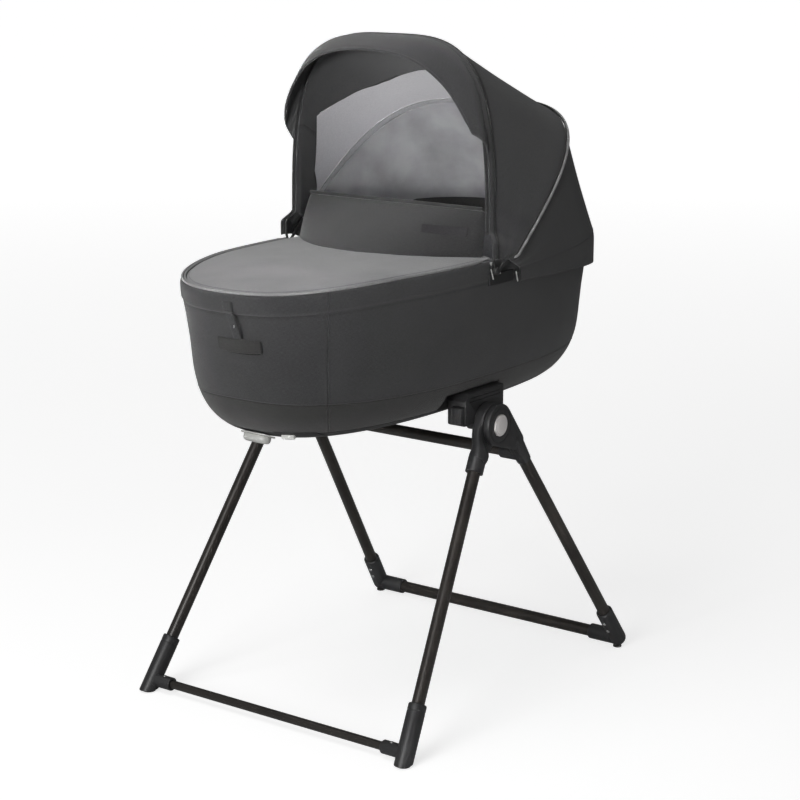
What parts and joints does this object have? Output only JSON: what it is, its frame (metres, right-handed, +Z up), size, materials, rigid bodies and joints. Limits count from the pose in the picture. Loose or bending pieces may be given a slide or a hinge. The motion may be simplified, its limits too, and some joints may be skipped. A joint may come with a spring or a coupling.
{
  "type": "carrycot on folding stand",
  "caption": "Fabric carrycot with folding hood, apron and wind flap, resting on adapters of a folding A-frame tube stand.",
  "frame": {"origin": "on the floor, midway between the feet in width and midway along the bounding box in length", "axes": "+Z up, +X to the side of the cot with the fold button shown in the picture, -Y towards the foot end, +Y towards the head end under the hood"},
  "size_m": [0.591, 0.9225, 1.147],
  "materials": {
    "charcoal_fabric": "woven charcoal polyester",
    "melange_fabric": "grey melange weave",
    "lining_fabric": "light grey lining",
    "net_fabric": "grey ventilation mesh",
    "piping_cord": "reflective grey piping",
    "black_plastic": "black moulded nylon",
    "bronze_paint": "dark bronze satin coating",
    "warm_grey_plastic": "warm grey moulded plastic",
    "white_plastic": "white moulded plastic",
    "bright_steel": "bright plated steel",
    "spring_plastic": "black springy plastic",
    "light_alloy": "plain alloy strip",
    "foam_pad": "covered foam",
    "foot_rubber": "black rubber"
  },
  "bodies": {
    "rear_frame": {"rear_leg_left": "bronze_paint", "rear_leg_right": "bronze_paint", "rear_hinge_left": "black_plastic", "rear_hinge_right": "black_plastic", "rear_foot_left": "black_plastic", "rear_foot_right": "black_plastic", "rear_pad_left": "foot_rubber", "rear_pad_right": "foot_rubber", "pivot_pin_left": "bright_steel", "pivot_pin_right": "bright_steel", "adapter_left": "black_plastic", "adapter_right": "black_plastic", "rear_bar": "bronze_paint", "upper_bar": "bronze_paint"},
    "front_frame": {"front_leg_left": "bronze_paint", "front_leg_right": "bronze_paint", "front_hinge_left": "black_plastic", "front_hinge_right": "black_plastic", "front_foot_left": "black_plastic", "front_foot_right": "black_plastic", "front_pad_left": "foot_rubber", "front_pad_right": "foot_rubber", "front_bar": "bronze_paint"},
    "fold_button_left": {"fold_button_left": "warm_grey_plastic"},
    "fold_button_right": {"fold_button_right": "warm_grey_plastic"},
    "adapter_button_left": {"adapter_button_left": "black_plastic"},
    "adapter_button_right": {"adapter_button_right": "black_plastic"},
    "cot": {"base_tray": "black_plastic", "lower_band": "charcoal_fabric", "side_fabric": "charcoal_fabric", "rim_frame": "light_alloy", "liner": "lining_fabric", "adapter_socket_left": "black_plastic", "adapter_socket_right": "black_plastic", "base_board": "black_plastic", "backrest_hinge_rod": "bright_steel", "mattress": "foam_pad", "apron": "melange_fabric", "apron_piping": "piping_cord", "foot_strap": "charcoal_fabric", "strap_hook": "bright_steel", "pocket_flap": "charcoal_fabric", "knob_plate": "warm_grey_plastic", "vent_plate": "black_plastic", "hood_bracket_left": "black_plastic", "hood_bracket_right": "black_plastic", "hood_rear_panel": "charcoal_fabric", "hood_mesh_panel": "net_fabric"},
    "backrest": {"backrest_board": "black_plastic"},
    "backrest_knob": {"backrest_knob": "warm_grey_plastic"},
    "vent_slider": {"vent_slider": "white_plastic"},
    "hood_mid": {"mid_bow": "spring_plastic", "mid_piping": "piping_cord", "hood_front_panel": "charcoal_fabric", "hood_lining": "lining_fabric"},
    "hood_front": {"front_bow": "spring_plastic", "front_band": "charcoal_fabric", "visor": "charcoal_fabric"},
    "wind_flap": {"wind_flap": "melange_fabric", "flap_batten": "spring_plastic"}
  },
  "joints": [
    {"name": "front_frame_fold", "type": "hinge", "parent": "rear_frame", "child": "front_frame", "pos_m": [0, -0.015, 0.497], "axis": [1, 0, 0], "range_deg": [0, 64]},
    {"name": "cot_lift", "type": "slide", "parent": "rear_frame", "child": "cot", "axis": [0, 0, 1], "range_m": [0, 0.12]},
    {"name": "hood_mid_fold", "type": "hinge", "parent": "cot", "child": "hood_mid", "pos_m": [0, -0.012, 0.762], "axis": [-1, 0, 0], "range_deg": [0, 30], "deforming": ["hood_rear_panel", "hood_mesh_panel"]},
    {"name": "hood_front_fold", "type": "hinge", "parent": "hood_mid", "child": "hood_front", "pos_m": [0, -0.012, 0.762], "axis": [-1, 0, 0], "range_deg": [0, 30], "deforming": ["hood_front_panel", "hood_lining"]},
    {"name": "wind_flap_fold", "type": "hinge", "parent": "cot", "child": "wind_flap", "pos_m": [0, -0.06, 0.79], "axis": [1, 0, 0], "range_deg": [0, 125], "deforming": ["wind_flap"]},
    {"name": "backrest_tilt", "type": "hinge", "parent": "cot", "child": "backrest", "pos_m": [0, 0, 0.5193], "axis": [1, 0, 0], "range_deg": [0, 15], "deforming": ["mattress"]},
    {"name": "backrest_knob_turn", "type": "hinge", "parent": "cot", "child": "backrest_knob", "pos_m": [0, -0.37033, 0.51937], "axis": [0, -0.3956, -0.9184], "range_deg": [0, 90]},
    {"name": "vent_slide", "type": "slide", "parent": "cot", "child": "vent_slider", "axis": [0.8824, 0.4705, 0.0015], "range_m": [0, 0.014]},
    {"name": "adapter_button_left_press", "type": "slide", "parent": "rear_frame", "child": "adapter_button_left", "axis": [0, 1, 0], "range_m": [0, 0.004], "stiffness_N_per_m": 400},
    {"name": "adapter_button_right_press", "type": "slide", "parent": "rear_frame", "child": "adapter_button_right", "axis": [0, 1, 0], "range_m": [0, 0.004], "stiffness_N_per_m": 400},
    {"name": "fold_button_left_press", "type": "slide", "parent": "rear_frame", "child": "fold_button_left", "axis": [1, 0, 0], "range_m": [0, 0.004], "stiffness_N_per_m": 600},
    {"name": "fold_button_right_press", "type": "slide", "parent": "rear_frame", "child": "fold_button_right", "axis": [-1, 0, 0], "range_m": [0, 0.004], "stiffness_N_per_m": 600}
  ],
  "couplings": [
    {"joint": "hood_front_fold", "follows": "hood_mid_fold", "ratio": 1},
    {"joint": "backrest_knob_turn", "follows": "backrest_tilt", "ratio": 6}
  ]
}
